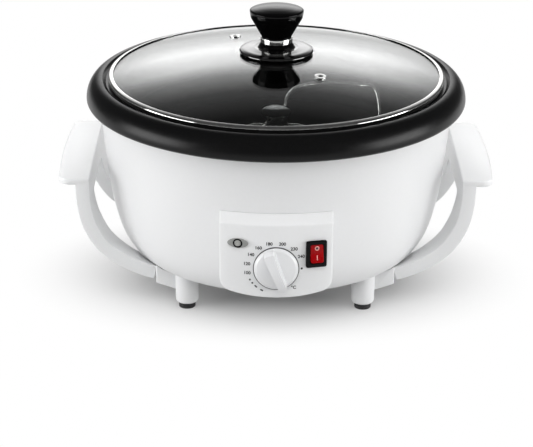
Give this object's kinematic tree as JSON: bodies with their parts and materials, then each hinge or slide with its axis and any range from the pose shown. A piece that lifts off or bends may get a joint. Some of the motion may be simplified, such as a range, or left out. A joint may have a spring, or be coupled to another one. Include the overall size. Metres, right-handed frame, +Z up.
{
  "type": "home coffee bean roaster",
  "caption": "Countertop roaster: black coated pan with a driven stirrer in a white bowl on four legs, lift-off glass lid, side handles, dial and switch.",
  "frame": {"origin": "middle of the roaster's overall footprint, on the plane its feet stand on", "axes": "+Z up, controls face -Y, handles along X"},
  "size_m": [0.364, 0.3315, 0.2387],
  "materials": {
    "white_plastic": "satin moulded white",
    "white_knob": "smooth white",
    "black_coating": "satin non-stick coating",
    "black_rubber": "matt",
    "black_plastic": "fine texture",
    "black_phenolic": "polished black",
    "red_plastic": "clear red",
    "grey_plastic": "satin",
    "polished_steel": "polished",
    "stirrer_steel": "drawn wire",
    "zinc_plated_steel": "zinc plated",
    "heater_steel": "heat tinted",
    "bright_aluminium": "bright sheet",
    "brass": "turned",
    "lid_glass": "tempered",
    "clear_lens": "clear lens",
    "bulb_glass": "bulb",
    "terminal_white": "natural nylon",
    "fuse_white": "glazed"
  },
  "bodies": {
    "base": {"roasting_pan": "black_coating", "outer_shell": "white_plastic", "base_tray": "white_plastic", "foot_front_left": "black_rubber", "foot_front_right": "black_rubber", "foot_rear_left": "black_rubber", "foot_rear_right": "black_rubber", "tray_screw_1": "zinc_plated_steel", "tray_screw_2": "zinc_plated_steel", "tray_screw_3": "zinc_plated_steel", "tray_screw_4": "zinc_plated_steel", "handle_screw_front_left": "zinc_plated_steel", "handle_screw_front_right": "zinc_plated_steel", "handle_screw_rear_left": "zinc_plated_steel", "handle_screw_rear_right": "zinc_plated_steel", "right_handle": "white_plastic", "left_handle": "white_plastic", "control_panel": "white_plastic", "thermostat_body": "zinc_plated_steel", "thermostat_nut": "zinc_plated_steel", "switch_housing": "black_plastic", "switch_tab_lower": "brass", "switch_tab_upper": "brass", "lamp_bezel": "grey_plastic", "lamp_lens": "clear_lens", "neon_bulb": "bulb_glass", "spindle_bushing": "brass", "gear_motor": "zinc_plated_steel", "motor_bracket": "zinc_plated_steel", "motor_screw_left": "zinc_plated_steel", "motor_screw_right": "zinc_plated_steel", "heat_shield": "bright_aluminium", "heater_ring": "heater_steel", "heater_clip_1": "zinc_plated_steel", "heater_clip_2": "zinc_plated_steel", "heater_clip_3": "zinc_plated_steel", "thermal_fuse": "fuse_white", "terminal_block": "terminal_white", "cord_gland": "black_plastic"},
    "lid": {"lid_glass": "lid_glass", "lid_rim_band": "polished_steel", "lid_vent_eyelet_front": "polished_steel", "lid_vent_eyelet_rear": "polished_steel", "lid_knob_base": "polished_steel", "lid_knob_collar": "polished_steel", "lid_knob": "black_phenolic", "lid_knob_washer": "black_rubber", "lid_knob_screw": "polished_steel"},
    "stirrer": {"stirrer_spindle": "stirrer_steel", "stirrer_hub": "stirrer_steel", "stirrer_arm_1": "stirrer_steel", "stirrer_arm_2": "stirrer_steel", "stirrer_cap_nut": "black_phenolic", "shaft_coupling": "brass", "motor_shaft": "zinc_plated_steel"},
    "rocker": {"power_rocker": "red_plastic"},
    "temperature_dial": {"temperature_knob": "white_knob", "thermostat_shaft": "zinc_plated_steel"}
  },
  "joints": [
    {"name": "lid_lift", "type": "slide", "parent": "base", "child": "lid", "axis": [0, 0, 1], "range_m": [0, 0.12]},
    {"name": "stirrer_turn", "type": "hinge", "parent": "base", "child": "stirrer", "pos_m": [0, 0.0059, 0.13], "axis": [0, 0, 1], "continuous": true},
    {"name": "temperature_knob_turn", "type": "hinge", "parent": "base", "child": "temperature_dial", "pos_m": [0, -0.1491, 0.072], "axis": [0, 1, 0], "range_deg": [0, 290]},
    {"name": "power_rocker_tilt", "type": "hinge", "parent": "base", "child": "rocker", "pos_m": [0.03149, -0.14433, 0.083], "axis": [0.9787, 0.2052, 0], "range_deg": [0, 18]}
  ]
}
